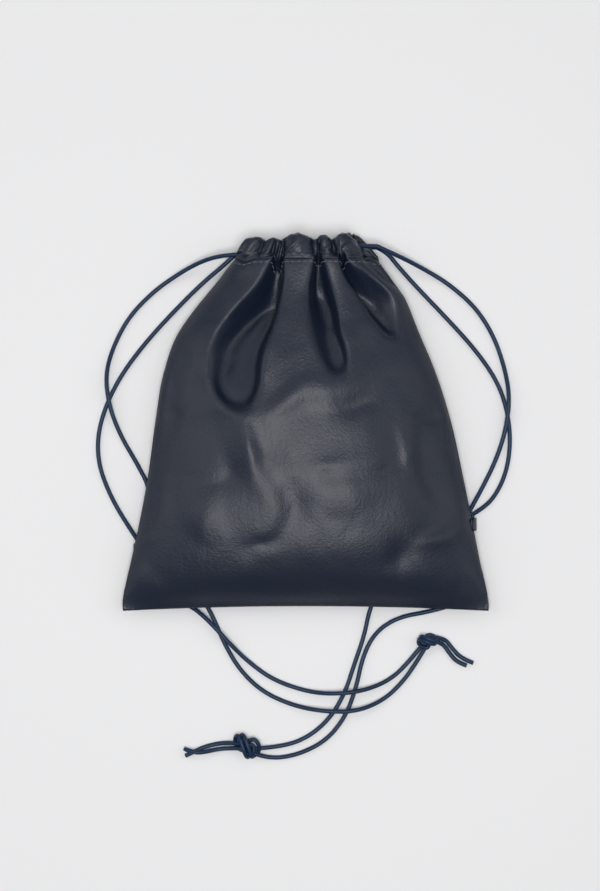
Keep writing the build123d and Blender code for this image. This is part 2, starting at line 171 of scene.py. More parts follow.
# Along the bag: y, left and right seam x, left and right seam z, front crown above the seam.
FRONT_STATIONS = np.array([
    (BAG_BOTTOM, -113.4, 113.5, 9.0, 9.0, 0.6), (-114.5, -113.8, 113.6, 9.0, 9.0, 2.4),
    (-110.0, -113.6, 113.2, 9.0, 9.0, 7.5), (-100.0, -111.6, 111.3, 9.0, 9.0, 15.0),
    (-85.0, -108.2, 107.6, 9.0, 9.0, 21.0), (-65.0, -103.8, 103.4, 9.0, 9.0, 25.5),
    (-35.0, -98.2, 97.0, 9.0, 9.0, 27.5), (0.0, -93.4, 89.5, 9.0, 9.0, 27.5),
    (30.0, -88.3, 80.8, 9.0, 9.0, 26.5), (55.0, -79.2, 70.4, 9.0, 9.5, 23.5),
    (68.0, -70.3, 65.0, 9.0, 10.0, 20.5), (80.5, -60.2, 58.6, 9.0, 11.5, 18.0),
    (90.0, -52.4, 47.0, 9.5, 14.0, 16.2), (95.0, -48.6, 41.3, 10.0, 15.8, 15.2),
    (MOUTH_Y, -44.6, 36.2, 10.5, 17.0, 14.0),
])
# Across the front at each y: how square its curve is, and how steep at the seams.
FULLNESS = np.array([
    (BAG_BOTTOM, 2.8, 0.62), (-60.0, 2.5, 0.66), (20.0, 2.4, 0.66), (70.0, 2.6, 0.6),
    (MOUTH_Y, 4.0, 0.5),
])
# Along the bag: y, left and right outer edge, back depth below the seam.
BACK_STATIONS = np.array([
    (BAG_BOTTOM, -113.4, 113.5, 0.6), (-112.0, -114.0, 114.2, 2.4), (-100.0, -112.0, 112.3, 4.2),
    (-85.0, -108.6, 109.2, 6.5), (-65.0, -104.3, 105.2, 8.4), (-35.0, -98.8, 99.0, 8.8),
    (0.0, -94.0, 91.3, 8.8), (30.0, -88.7, 82.0, 8.8), (55.0, -79.2, 71.0, 8.7),
    (75.0, -64.8, 62.6, 8.5), (90.0, -52.6, 52.4, 8.2), (MOUTH_Y, -44.6, 44.6, 7.8),
])
# The three big folds that run down from the mouth. outline is the fold seen from above; the
# others are (y, value) pairs: depth of its floor, width of its two walls, and the low ridge
# along its floor with the ridge's height and half width.
FOLDS = [
    {
        "outline": [(-21.5, 101), (-24.5, 95), (-31.7, 83.6), (-44.8, 70.5), (-54.2, 59.8),
                    (-60.5, 49.2), (-63.6, 38.6), (-62.3, 28), (-58, 18), (-49.8, 9.6), (-41, 5.5),
                    (-34.5, 8), (-29.5, 14.2), (-26.3, 23), (-25.7, 33.6), (-23.8, 43.6),
                    (-20, 52.3), (-16.2, 63.6), (-13.6, 79.8), (-12.4, 101)],
        "floor": [(101, 13.0), (85, 17.0), (60, 17.5), (35, 13.0), (15, 7.5), (5, 5.0)],
        "left_wall": [(101, 4.0), (85, 11.0), (60, 20.0), (35, 17.0), (20, 9.0), (8, 4.0)],
        "right_wall": [(101, 3.0), (85, 3.5), (60, 5.0), (35, 6.0), (20, 6.0), (8, 4.0)],
        "ridge": [(-17.2, 101), (-18.2, 88), (-25.0, 66), (-32.5, 50), (-38.5, 32), (-41, 18)],
        "ridge_height": [(101, 5.0), (92, 4.0), (80, 0.0), (30, 0.0)],
        "ridge_half": [(101, 1.8), (85, 3.0), (60, 6.0), (30, 8.0), (5, 8.0)],
    },
    {
        "outline": [(4.6, 101), (1.6, 88), (0.2, 79.8), (-0.2, 63.6), (2.2, 49.2), (7.2, 37.9),
                    (13.5, 30.4), (19.5, 28), (24.9, 29.8), (27.4, 37.3), (25.9, 46), (23, 54.2),
                    (21.9, 63.6), (18.6, 76.7), (14.5, 88.6), (10.6, 101)],
        "floor": [(101, 12.0), (85, 13.0), (60, 11.0), (42, 7.0), (28, 4.0)],
        "left_wall": [(101, 2.5), (85, 6.0), (60, 12.0), (40, 10.0), (30, 4.0)],
        "right_wall": [(101, 2.5), (85, 4.0), (60, 6.5), (40, 6.0), (30, 4.0)],
        "ridge": [(7.2, 101), (9.5, 88), (12.5, 70), (14.8, 57), (17.5, 44)],
        "ridge_height": [(101, 4.0), (92, 3.0), (82, 0.0), (48, 0.0)],
        "ridge_half": [(101, 1.4), (85, 2.4), (60, 3.8), (40, 5.0)],
    },
    {
        "outline": [(18.8, 101), (20.3, 94), (23.9, 86.3), (29.4, 78.8), (37.4, 66.1), (44.8, 56.9),
                    (50.2, 52.4), (54.6, 50.6), (58.4, 53), (59.4, 60), (58.6, 70), (54.5, 79),
                    (46, 86.5), (36.5, 92.5), (28.5, 96), (25.8, 101)],
        "floor": [(101, 12.0), (88, 13.0), (70, 11.5), (58, 7.5), (50, 4.5)],
        "left_wall": [(101, 2.5), (88, 4.2), (70, 5.6), (50, 4.0)],
        "right_wall": [(101, 4.0), (88, 11.0), (70, 18.0), (50, 5.0)],
        "ridge": [(22.4, 101), (27, 94), (34, 86), (42, 77)],
        "ridge_height": [(101, 1.5), (94, 0.5), (88, 0.0), (77, 0.0)],
        "ridge_half": [(101, 1.2), (88, 2.2), (70, 4.0)],
    },
]
# Broad dents (below zero) and swells of the front: x, y, half width, half length, height, and
# how far its length leans to the right of straight up, degrees.
FRONT_SWELLS = [
    (-54, -26, 9, 30, -2.2, -14), (-8, -52, 11, 20, -2.0, -24), (31, 6, 10, 17, -2.0, 60),
    (75, -34, 8, 24, -1.7, -12), (58, -86, 9, 18, -1.6, 74), (-78, 12, 9, 34, -1.2, 10),
    (-22, -72, 9, 20, -1.2, 66), (46, -24, 7, 15, -0.9, 30), (-34, -18, 8, 24, 2.0, -13),
    (-2, 14, 8, 24, 1.7, 68), (63, -12, 7, 24, 1.9, -8), (26, -46, 14, 20, 1.6, 35),
    (-60, -60, 11, 17, 1.4, 56), (-93, -70, 6, 26, 0.8, 14), (85, -70, 7, 13, 1.3, 66),
    (20, -22, 8, 19, 1.1, 76),
]
# How far inside a fold's outline its floor is reached.
FOLD_ROUND = 4.0
# The mouth's edge comes down by this much for each mm that it lies below its humps.
DRAWN_DOWN = 1.1
HUMP_TOP = 24.0
DEEPEST = 14.0
# Pleats of the back panel at the mouth: middle x, half width, rise.
BACK_PLEATS = [(-27, 4.0, 6.5), (-10, 3.2, 5.5), (6, 3.6, 6.5), (23, 3.4, 5.5)]
FRONT_COLUMNS = 110
FRONT_ROWS = 100
BACK_COLUMNS = 100
BACK_ROWS = 80

made = {}

# How the leather settles. The sheet is ten times its size while it does.
SETTLING_SCALE = 10.0
SETTLING = {
    "quality": 8, "mass": 0.4, "tension_stiffness": 60, "compression_stiffness": 60,
    "shear_stiffness": 30, "tension_damping": 8, "compression_damping": 8, "shear_damping": 8,
    "bending_damping": 1, "air_damping": 3, "vertex_group_mass": "held", "pin_stiffness": 1,
    "use_pressure": True,
}


# ------------------------------------------------------------------ small helpers
def through(knots, values, at):
    """A smooth curve through values at knots, read at the places at."""
    knots = np.asarray(knots, float)
    values = np.asarray(values, float)
    at = np.asarray(at, float)
    slope = np.gradient(values, knots)
    spot = np.clip(np.searchsorted(knots, at) - 1, 0, len(knots) - 2)
    step = knots[spot + 1] - knots[spot]
    t = (at - knots[spot]) / step
    start = values[spot] * (2 * t**3 - 3 * t**2 + 1) + slope[spot] * step * (t**3 - 2 * t**2 + t)
    end = values[spot + 1] * (3 * t**2 - 2 * t**3) + slope[spot + 1] * step * (t**3 - t**2)
    return start + end


def pairs_at(pairs, at):
    """Straight-line reading of (y, value) pairs."""
    pairs = np.array(sorted(pairs), float)
    return np.interp(at, pairs[:, 0], pairs[:, 1])


def ease(t):
    """From 0 to 1 with a soft start and end."""
    t = np.clip(t, 0, 1)
    return t * t * (3 - 2 * t)


def smooth_line(points, steps=12):
    """A smooth line through points, with some steps between each two."""
    points = np.array(points, float)
    knots = np.arange(len(points))
    at = np.linspace(0, len(points) - 1, (len(points) - 1) * steps + 1)
    return np.stack([through(knots, points[:, axis], at) for axis in range(points.shape[1])], -1)


def line_distance(points, x, y):
    """How far each (x, y) is from a line through points."""
    line = smooth_line(points)
    best = np.full(x.shape, 1e9)
    for (ax, ay), (bx, by) in zip(line[:-1], line[1:]):
        dx, dy = bx - ax, by - ay
        share = np.clip(((x - ax) * dx + (y - ay) * dy) / (dx * dx + dy * dy + 1e-9), 0, 1)
        best = np.minimum(best, (x - ax - share * dx) ** 2 + (y - ay - share * dy) ** 2)
    return np.sqrt(best)


def depth_inside(outline, x, y):
    """Distance to an outline, positive inside it."""
    line = smooth_line(outline)
    inside = np.zeros(x.shape, bool)
    for (ax, ay), (bx, by) in zip(line, np.roll(line, -1, axis=0)):
        crosses = ((ay > y) != (by > y)) & (x < (bx - ax) * (y - ay) / (by - ay + 1e-12) + ax)
        inside ^= crosses
    away = line_distance(outline, x, y)
    return np.where(inside, away, -away)


def finer(grid):
    """The grid with a smoothly placed point between each two, along both ways."""
    for axis in (0, 1):
        count = grid.shape[axis]
        moved = np.moveaxis(grid, axis, 0)
        before = np.concatenate([2 * moved[:1] - moved[1:2], moved[:-1]])
        after = np.concatenate([moved[1:], 2 * moved[-1:] - moved[-2:-1]])
        far = np.concatenate([after[1:], 2 * after[-1:] - moved[-1:]])
        between = (9 * (moved + after) - before - far) / 16
        result = np.empty((2 * count - 1,) + moved.shape[1:])
        result[0::2] = moved
        result[1::2] = between[:-1]
        grid = np.moveaxis(result, 0, axis)
    return grid


def normals_of(grid):
    """Unit normals of a grid of points."""
    across = np.gradient(grid, axis=1)
    along = np.gradient(grid, axis=0)
    normal = np.cross(across, along)
    return normal / np.maximum(np.linalg.norm(normal, axis=-1, keepdims=True), 1e-9)


def smoothed(grid, times):
    """The grid with its inner points eased towards their neighbours."""
    for _ in range(times):
        inner = (grid[:-2, 1:-1] + grid[2:, 1:-1] + grid[1:-1, :-2] + grid[1:-1, 2:]) / 4
        grid = grid.copy()
        grid[1:-1, 1:-1] = 0.5 * grid[1:-1, 1:-1] + 0.5 * inner
    return grid


def bowed(grid):
    """Lifts the middle of the bottom edge a little, as a full bag does."""
    share = grid[..., 0] / BOW_HALF
    bow = BOW_RISE * (1 - np.clip(share**2, 0, 1)) * ease((BOW_TOP - grid[..., 1]) / BOW_FADE)
    result = grid.copy()
    result[..., 1] += bow
    return result


def quads(rows, columns, flip=False):
    """The faces of a grid of points."""
    faces = []
    for row in range(rows - 1):
        for column in range(columns - 1):
            start = row * columns + column
            face = (start, start + 1, start + columns + 1, start + columns)
            faces.append(face[::-1] if flip else face)
    return faces


def link(mesh, name, material):
    """A new object in the scene, with its material if it has one."""
    piece = bpy.data.objects.new(name, mesh)
    bpy.context.scene.collection.objects.link(piece)
    if material:
        piece.data.materials.append(material)
    return piece


def hand_over(piece, slot, body, *stands_for):
    """Hides the frame's nodes that a piece stands for and puts the piece on its body. The slot is
    not used.
    """
    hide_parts(*stands_for)
    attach(piece, body)


def leather_piece(name, grid, flat, thickness, flip=False, skived=0):
    """A sheet of leather: the grid is its outer face in mm, flat the same points before sewing."""
    rows, columns = grid.shape[:2]
    mesh = bpy.data.meshes.new(name)
    mesh.from_pydata((grid.reshape(-1, 3) * MM).tolist(), [], quads(rows, columns, flip))
    layer = mesh.uv_layers.new(name="leather")
    corner = np.empty(len(mesh.loops), int)
    mesh.loops.foreach_get("vertex_index", corner)
    layer.data.foreach_set("uv", (flat.reshape(-1, 2)[corner] * MM).ravel())
    mesh.shade_smooth()
    piece = link(mesh, name, finishes()["bag_leather"])
    wall = piece.modifiers.new("thickness", "SOLIDIFY")
    wall.thickness = thickness * MM
    wall.offset = -1.0
    wall.use_rim = True
    if skived:
        edge_row = np.minimum(np.arange(rows), np.arange(rows)[::-1])
        edge_column = np.minimum(np.arange(columns), np.arange(columns)[::-1])
        from_edge = np.minimum(edge_row[:, None], edge_column[None, :]).ravel()
        group = piece.vertex_groups.new(name="thickness")
        for step in range(skived + 1):
            members = from_edge >= step if step == skived else from_edge == step
            weight = SKIVED_EDGE + (1 - SKIVED_EDGE) * step / skived
            group.add(np.flatnonzero(members).tolist(), weight, "REPLACE")
        wall.vertex_group = "thickness"
    return piece


def sew_sheet(name, stands_for, grid, flat, thickness, flip=False, skived=0):
    """A sheet of the bag's leather, made finer, with its flat pattern as its UV map, and handed
    over.
    """
    sheet = leather_piece(name, finer(grid), finer(flat), thickness, flip, skived)
    hand_over(sheet, "bag_leather", "bag", stands_for)


def plain_mesh(piece):
    """The piece with its modifiers applied."""
    graph = bpy.context.evaluated_depsgraph_get()
    mesh = bpy.data.meshes.new_from_object(piece.evaluated_get(graph), depsgraph=graph)
    piece.modifiers.clear()
    old = piece.data
    piece.data = mesh
    bpy.data.meshes.remove(old)
    return piece


def settle(grid, flat, pinned, pressure, frames, hold, bending=6.0, flip=False):
    """Lets the leather settle from the grid, with the lengths it has when flat (both in mm)."""
    rows, columns = grid.shape[:2]
    size = SETTLING_SCALE * MM
    mesh = bpy.data.meshes.new("settling")
    mesh.from_pydata((grid.reshape(-1, 3) * size).tolist(), [], quads(rows, columns, flip))
    piece = link(mesh, "settling", None)
    piece.shape_key_add(name="sewn")
    cut = piece.shape_key_add(name="cut")
    laid = np.zeros((rows * columns, 3))
    laid[:, :2] = flat.reshape(-1, 2) * size
    cut.data.foreach_set("co", laid.ravel())
    cut.value = 0.0
    group = piece.vertex_groups.new(name="held")
    index = np.arange(rows * columns).reshape(rows, columns)
    group.add(index[pinned].tolist(), 1.0, "REPLACE")
    group.add(index[~pinned].tolist(), hold, "REPLACE")
    cloth = piece.modifiers.new("settle", "CLOTH")
    cloth.point_cache.frame_start = 1
    cloth.point_cache.frame_end = frames
    cloth.collision_settings.use_collision = False
    leather = cloth.settings
    for setting, value in SETTLING.items():
        setattr(leather, setting, value)
    leather.bending_stiffness = bending
    leather.rest_shape_key = cut
    leather.uniform_pressure_force = pressure
    leather.effector_weights.gravity = 0
    scene = bpy.context.scene
    scene.frame_start = 1
    scene.frame_end = frames
    for step in range(1, frames + 1):
        scene.frame_set(step)
    graph = bpy.context.evaluated_depsgraph_get()
    settled = piece.evaluated_get(graph).to_mesh()
    places = np.empty(len(settled.vertices) * 3)
    settled.vertices.foreach_get("co", places)
    bpy.data.objects.remove(piece)
    bpy.data.meshes.remove(mesh)
    scene.frame_set(1)
    return places.reshape(rows, columns, 3) / size


def lattice_noise(x, y, seed):
    """Smooth noise from -1 to 1, the same on every run."""
    table = np.random.default_rng(seed).uniform(-1, 1, (64, 64))
    ix = np.floor(x).astype(int)
    iy = np.floor(y).astype(int)
    fx = ease(x - ix)
    fy = ease(y - iy)
    a = table[iy % 64, ix % 64]
    b = table[iy % 64, (ix + 1) % 64]
    c = table[(iy + 1) % 64, ix % 64]
    d = table[(iy + 1) % 64, (ix + 1) % 64]
    return (a * (1 - fx) + b * fx) * (1 - fy) + (c * (1 - fx) + d * fx) * fy


# ------------------------------------------------------------------ shader node groups
def group_of(name, inputs, outputs):
    group = bpy.data.node_groups.new(name, "ShaderNodeTree")
    for label, kind, value in inputs:
        socket = group.interface.new_socket(label, in_out="INPUT", socket_type=kind)
        if value is not None:
            socket.default_value = value
    for label, kind in outputs:
        group.interface.new_socket(label, in_out="OUTPUT", socket_type=kind)
    entry = group.nodes.new("NodeGroupInput")
    leave = group.nodes.new("NodeGroupOutput")
    return group, entry, leave


def node(tree, kind, links=(), **values):
    """A node with named or numbered inputs set, and its incoming links made."""
    new = tree.nodes.new(kind)
    for key, value in values.items():
        setattr(new, key, value)
    for key, source in links:
        socket = new.inputs[key]
        if hasattr(source, "is_output"):
            tree.links.new(source, socket)
        else:
            socket.default_value = source
    return new


def sum_of(tree, operation, first, second):
    """One sum of two numbers, as a value to link on."""
    return node(tree, "ShaderNodeMath", [(0, first), (1, second)], operation=operation).outputs[0]


def noise(tree, vector, scale, detail, roughness=0.5, distortion=0.0):
    """A noise pattern, as a value to link on."""
    links = [("Vector", vector), ("Scale", scale), ("Detail", detail), ("Roughness", roughness),
             ("Distortion", distortion)]
    return node(tree, "ShaderNodeTexNoise", links).outputs["Fac"]


def stretched(tree, vector, x, y):
    """The vector with its x and y scaled, which draws a pattern out."""
    scale = node(tree, "ShaderNodeCombineXYZ", [("X", x), ("Y", y), ("Z", 1.0)])
    links = [(0, vector), (1, scale.outputs[0])]
    return node(tree, "ShaderNodeVectorMath", links, operation="MULTIPLY").outputs[0]


def blend(tree, share, first, second):
    """Two colours mixed by a share, as a colour to link on."""
    links = [(6, first), (7, second), (0, share)]
    return node(tree, "ShaderNodeMix", links, data_type="RGBA").outputs[2]


def relief(tree, height, strength, distance, under=None):
    """A bump of some height, over another bump where one is given."""
    links = [("Height", height), ("Strength", strength), ("Distance", distance)]
    if under is not None:
        links.append(("Normal", under))
    return node(tree, "ShaderNodeBump", links).outputs[0]


def shade(colour, factor, lift=0.0):
    """A colour made lighter or darker, with its alpha."""
    return [channel * factor + lift for channel in colour[:3]] + [1.0]


def new_finish(name):
    """A new material with its tree and its shader."""
    material = bpy.data.materials.new(name)
    material.use_nodes = True
    return material, material.node_tree, material.node_tree.nodes["Principled BSDF"]


def grain_group():
    """Fine pores and pebbles of smooth leather: a height and a tint, both round 0.5."""
    group, entry, leave = group_of(
        "leather grain",
        [("Vector", "NodeSocketVector", None), ("Pore size", "NodeSocketFloat", 0.0009),
         ("Pebble size", "NodeSocketFloat", 0.0022)],
        [("Height", "NodeSocketFloat"), ("Tint", "NodeSocketFloat")],
    )
    place = entry.outputs["Vector"]
    pore_scale = sum_of(group, "DIVIDE", 1.0, entry.outputs["Pore size"])
    pebble_scale = sum_of(group, "DIVIDE", 1.0, entry.outputs["Pebble size"])
    pores = node(group, "ShaderNodeTexVoronoi", [("Vector", place), ("Scale", pore_scale)],
                 feature="SMOOTH_F1")
    pebbles = noise(group, place, pebble_scale, 4.0, 0.6)
    pore_height = sum_of(group, "MULTIPLY", pores.outputs["Distance"], 0.55)
    height = sum_of(group, "ADD", pore_height, pebbles)
    group.links.new(height, leave.inputs["Height"])
    group.links.new(noise(group, place, 22.0, 5.0, 0.55), leave.inputs["Tint"])
    return group


def creases_group():
    """Faint drawn-out wrinkles and a few light scratches."""
    group, entry, leave = group_of(
        "creases and scratches",
        [("Vector", "NodeSocketVector", None), ("Stretch", "NodeSocketFloat", 0.16)],
        [("Height", "NodeSocketFloat"), ("Scratch", "NodeSocketFloat")],
    )
    place = entry.outputs["Vector"]
    drawn = stretched(group, place, 1.0, entry.outputs["Stretch"])
    wrinkles = noise(group, drawn, 160.0, 3.0, 0.55, 0.4)
    lines = noise(group, stretched(group, place, 0.12, 1.0), 240.0, 2.0, 0.5, 0.7)
    thin = node(group, "ShaderNodeMapRange", [("Value", lines), ("From Min", 0.735),
                                             ("From Max", 0.76)])
    group.links.new(wrinkles, leave.inputs["Height"])
    group.links.new(thin.outputs[0], leave.inputs["Scratch"])
    return group


def leather_finish(name, colour, lift, grain, creases):
    """Smooth dark leather. lift is how much lighter its worn patches are."""
    material, tree, shader = new_finish(name)
    place = node(tree, "ShaderNodeUVMap", uv_map="leather")
    fine = node(tree, "ShaderNodeGroup", node_tree=grain)
    fine.inputs["Pore size"].default_value = 0.0011
    fine.inputs["Pebble size"].default_value = 0.0024
    drawn = node(tree, "ShaderNodeGroup", node_tree=creases)
    for effect in (fine, drawn):
        tree.links.new(place.outputs["UV"], effect.inputs["Vector"])
    tint = blend(tree, fine.outputs["Tint"], shade(colour, 1 - lift), shade(colour, 1 + lift))
    faint = sum_of(tree, "MULTIPLY", drawn.outputs["Scratch"], 0.16)
    scratched = blend(tree, faint, tint, shade(colour, 1.9, 0.004))
    tree.links.new(scratched, shader.inputs["Base Color"])
    gloss = node(tree, "ShaderNodeMapRange", [("Value", fine.outputs["Tint"]), ("From Min", 0.3),
                                             ("From Max", 0.7), ("To Min", 0.48), ("To Max", 0.40)])
    tree.links.new(gloss.outputs[0], shader.inputs["Roughness"])
    soft = relief(tree, drawn.outputs["Height"], 0.35, 0.0005)
    tree.links.new(relief(tree, fine.outputs["Height"], 0.8, 0.0002, soft), shader.inputs["Normal"])
    shader.inputs["Specular IOR Level"].default_value = 0.46
    shader.inputs["Coat Weight"].default_value = 0.05
    shader.inputs["Coat Roughness"].default_value = 0.25
    return material


def cord_finish(name, colour):
    """Round dyed leather cord: a soft shine and fine uneven streaks."""
    material, tree, shader = new_finish(name)
    place = node(tree, "ShaderNodeTexCoord").outputs["Object"]
    streaks = noise(tree, place, 900.0, 3.0, 0.6)
    patches = noise(tree, place, 70.0, 2.0)
    tint = blend(tree, patches, shade(colour, 0.75), shade(colour, 1.35))
    tree.links.new(tint, shader.inputs["Base Color"])
    shader.inputs["Specular IOR Level"].default_value = 0.3
    gloss = node(tree, "ShaderNodeMapRange", [("Value", streaks), ("To Min", 0.30),
                                             ("To Max", 0.46)])
    tree.links.new(gloss.outputs[0], shader.inputs["Roughness"])
    tree.links.new(relief(tree, streaks, 0.25, 0.0002), shader.inputs["Normal"])
    return material


def thread_finish(name, colour):
    """Pale sewing thread with the lay of its plies."""
    material, tree, shader = new_finish(name)
    plies = noise(tree, node(tree, "ShaderNodeTexCoord").outputs["Object"], 2600.0, 2.0)
    tint = blend(tree, plies, shade(colour, 0.6), shade(colour, 1.0))
    tree.links.new(tint, shader.inputs["Base Color"])
    tree.links.new(relief(tree, plies, 0.4, 0.0001), shader.inputs["Normal"])
    shader.inputs["Roughness"].default_value = 0.6
    return material


def finishes():
    """The three finishes of the bag, made once."""
    if "finishes" not in made:
        colours = bpy.context.scene.backpack_colours
        effects = grain_group(), creases_group()
        made["finishes"] = {
            "bag_leather": leather_finish("bag_leather_dark_blue", colours.leather, 0.14, *effects),
            "cord_leather": cord_finish("cord_leather_navy", colours.cord),
            "thread": thread_finish("thread_pale_grey", colours.thread),
        }
    return made["finishes"]


# ------------------------------------------------------------------ the leather panels
def front_height(x, y):
    """Height of the front panel before the leather settles."""
    left, right, left_z, right_z, crown = [
        through(FRONT_STATIONS[:, 0], FRONT_STATIONS[:, column], y) for column in range(1, 6)
    ]
    share = np.clip((2 * x - left - right) / (right - left), -1, 1)
    seam = (left_z * (1 - share) + right_z * (1 + share)) / 2
    fullness = through(FULLNESS[:, 0], FULLNESS[:, 1], y)
    roundness = through(FULLNESS[:, 0], FULLNESS[:, 2], y)
    height = seam + crown * (1 - np.abs(share) ** fullness) ** roundness
    for fold in FOLDS:
        outline = smooth_line(fold["outline"])
        tip = int(np.argmin(outline[:, 1]))
        left_x = pairs_at(outline[: tip + 1, ::-1].tolist(), y)
        right_x = pairs_at(outline[tip:, ::-1].tolist(), y)
        sunk = ease((x - left_x) / pairs_at(fold["left_wall"], y))
        sunk = sunk * ease((right_x - x) / pairs_at(fold["right_wall"], y))
        sunk = sunk * ease(depth_inside(fold["outline"], x, y) / FOLD_ROUND)
        cut = pairs_at(fold["floor"], y) * sunk
        off_ridge = line_distance(fold["ridge"], x, y) / pairs_at(fold["ridge_half"], y)
        ridge = pairs_at(fold["ridge_height"], y) * np.exp(-(off_ridge**2)) * sunk
        height = height - cut + ridge
    return height


def rows_by_length(x, y, z, columns):
    """Each row of points dealt out again at even spacing along its own length."""
    grid = np.zeros((x.shape[0], columns, 3))
    widths = np.zeros(x.shape[0])
    for row in range(x.shape[0]):
        length = np.r_[0, np.cumsum(np.hypot(np.diff(x[row]), np.diff(z[row])))]
        widths[row] = length[-1]
        at = np.linspace(0, length[-1], columns)
        grid[row, :, 0] = np.interp(at, length, x[row])
        grid[row, :, 1] = y[row]
        grid[row, :, 2] = np.interp(at, length, z[row])
    return grid, widths


def flat_pattern(widths, length, columns):
    """The same rows laid flat."""
    across = np.linspace(-0.5, 0.5, columns)
    along = np.linspace(0, length, len(widths))
    return np.stack([widths[:, None] * across[None, :], np.repeat(along[:, None], columns, 1)], -1)


def edge_mask(rows, columns):
    """True on the four edges of a grid."""
    mask = np.zeros((rows, columns), bool)
    mask[[0, -1], :] = True
    mask[:, [0, -1]] = True
    return mask


def front_panel_grid():
    """The front panel, settled, with its swells and dents, and the same points laid flat."""
    rows, columns = FRONT_ROWS + 1, FRONT_COLUMNS + 1
    y = np.linspace(BAG_BOTTOM, MOUTH_Y, rows)
    left = through(FRONT_STATIONS[:, 0], FRONT_STATIONS[:, 1], y)
    right = through(FRONT_STATIONS[:, 0], FRONT_STATIONS[:, 2], y)
    # Points stand closer together near the side seams, where the panel turns down.
    share = np.linspace(0, 1, 900)
    share = 0.15 * (1 - np.cos(np.pi * share)) + 0.7 * share
    x = left[:, None] * (1 - share) + right[:, None] * share
    z = front_height(x, np.repeat(y[:, None], len(share), 1))
    grid, widths = rows_by_length(x, y, z, columns)
    # The folds draw the edge of the mouth down between the humps.
    across = np.abs(np.linspace(-1, 1, columns))
    near_mouth = ease((np.linspace(0, 1, rows) - 0.55) / 0.45) ** 4
    sunk = np.clip(HUMP_TOP - grid[:, :, 2], 0, DEEPEST) * ease((0.88 - across) / 0.15)[None, :]
    grid[:, :, 1] -= DRAWN_DOWN * near_mouth[:, None] * sunk
    flat = flat_pattern(widths, FRONT_LENGTH, columns)
    grid = bowed(smoothed(grid, 4))
    grid = settle(grid, flat, edge_mask(rows, columns), 2.0, 12, 0.05, bending=35.0)
    x, y = grid[..., 0], grid[..., 1]
    swell = np.zeros_like(x)
    wander_x = x + 7 * lattice_noise(x / 24, y / 27, 24)
    wander_y = y + 7 * lattice_noise(x / 26, y / 22, 25)
    for middle_x, middle_y, half_width, half_length, rise, lean in FRONT_SWELLS:
        sine, cosine = math.sin(math.radians(lean)), math.cos(math.radians(lean))
        off_x, off_y = wander_x - middle_x, wander_y - middle_y
        wide = (off_x * cosine - off_y * sine) / half_width
        long = (off_x * sine + off_y * cosine) / half_length
        swell += rise * np.exp(-(wide**2) - long**2)
    swell += 0.6 * lattice_noise(wander_x / 19 + 3, wander_y / 21, 21)
    swell += 0.12 * lattice_noise(wander_x / 7, wander_y / 8, 22)
    # The swells die out towards the seams, the bottom and the mouth.
    inside = ease((1 - across[None, :]) / 0.12) * ease((y - BAG_BOTTOM - 4) / 14)
    grid[..., 2] += swell * inside * ease((MOUTH_Y - 8 - y) / 12)
    return grid, flat


def back_panel_grid():
    """The back panel: from the left seam round under the bag to the right seam."""
    rows, columns = BACK_ROWS + 1, BACK_COLUMNS + 1
    y = np.linspace(BAG_BOTTOM, MOUTH_Y, rows)
    seam_left = [through(FRONT_STATIONS[:, 0], FRONT_STATIONS[:, column], y) for column in (1, 3)]
    seam_right = [through(FRONT_STATIONS[:, 0], FRONT_STATIONS[:, column], y) for column in (2, 4)]
    left, right, depth = [
        through(BACK_STATIONS[:, 0], BACK_STATIONS[:, column], y) for column in (1, 2, 3)
    ]
    share = np.linspace(-1, 1, 700)
    lines_x, lines_z = [], []
    for row in range(rows):
        middle, half = (left[row] + right[row]) / 2, (right[row] - left[row]) / 2
        x = middle + half * share
        z = SEAM_Z - depth[row] * (1 - np.abs(share) ** 3)
        mouth = ease((y[row] - 40) / 55)
        pleats = np.zeros_like(x)
        for centre, width, rise in BACK_PLEATS:
            spread = 1 + (MOUTH_Y - y[row]) * 0.045
            spot = centre * (1 + (MOUTH_Y - y[row]) * 0.012)
            pleats += rise * np.exp(-(((x - spot) / (width * spread)) ** 2))
        z = z + pleats * mouth * (1 - np.abs(share) ** 6)
        # On the right the panel turns up round the edge of the bag to the seam.
        turn = np.linspace(0, 1, 40)[1:]
        top_x, top_z = seam_right[0][row], seam_right[1][row]
        lift = max(top_z - SEAM_Z, 0.3)
        out_x = right[row] + 0.12 * lift
        first, second, third = (1 - turn) ** 2, 2 * turn * (1 - turn), turn**2
        arc_x = first * right[row] + second * out_x + third * top_x
        arc_z = first * SEAM_Z + second * (SEAM_Z + 0.75 * lift) + third * top_z
        x[0], z[0] = seam_left[0][row], seam_left[1][row]
        lines_x.append(np.r_[x, arc_x])
        lines_z.append(np.r_[z, arc_z])
    grid, widths = rows_by_length(np.array(lines_x), y, np.array(lines_z), columns)
    flat = flat_pattern(widths, BACK_LENGTH, columns)
    lowest = SEAM_Z - depth[:, None]
    grid = bowed(smoothed(grid, 2))
    settled = settle(grid, flat, edge_mask(rows, columns), 1.2, 14, 0.03, flip=True)
    settled[:, :, 2] = np.maximum(settled[:, :, 2], np.maximum(lowest - 0.3, 0.0))
    return settled, flat


# ------------------------------------------------------------------ the gathered channels
# Humps of leather between the tucks of the front channel, left to right: x from, to, height.
FRONT_HUMPS = [(-43.5, -27.5, 3.4), (-27.5, -19.5, 3.0), (-19.5, -16.3, 2.2), (-16.3, -13.4, 2.4),
               (-13.4, 4.4, 4.2), (4.4, 7.4, 2.2), (7.4, 17.0, 3.8), (17.0, 33.5, 4.2)]
BACK_HUMPS = [(-42.5, -30, 3.0), (-30, -22, 2.4), (-22, -10, 3.0), (-10, -4, 2.0), (-4, 9, 3.0),
              (9, 14, 2.0), (14, 26, 3.0), (26, 40, 3.6)]
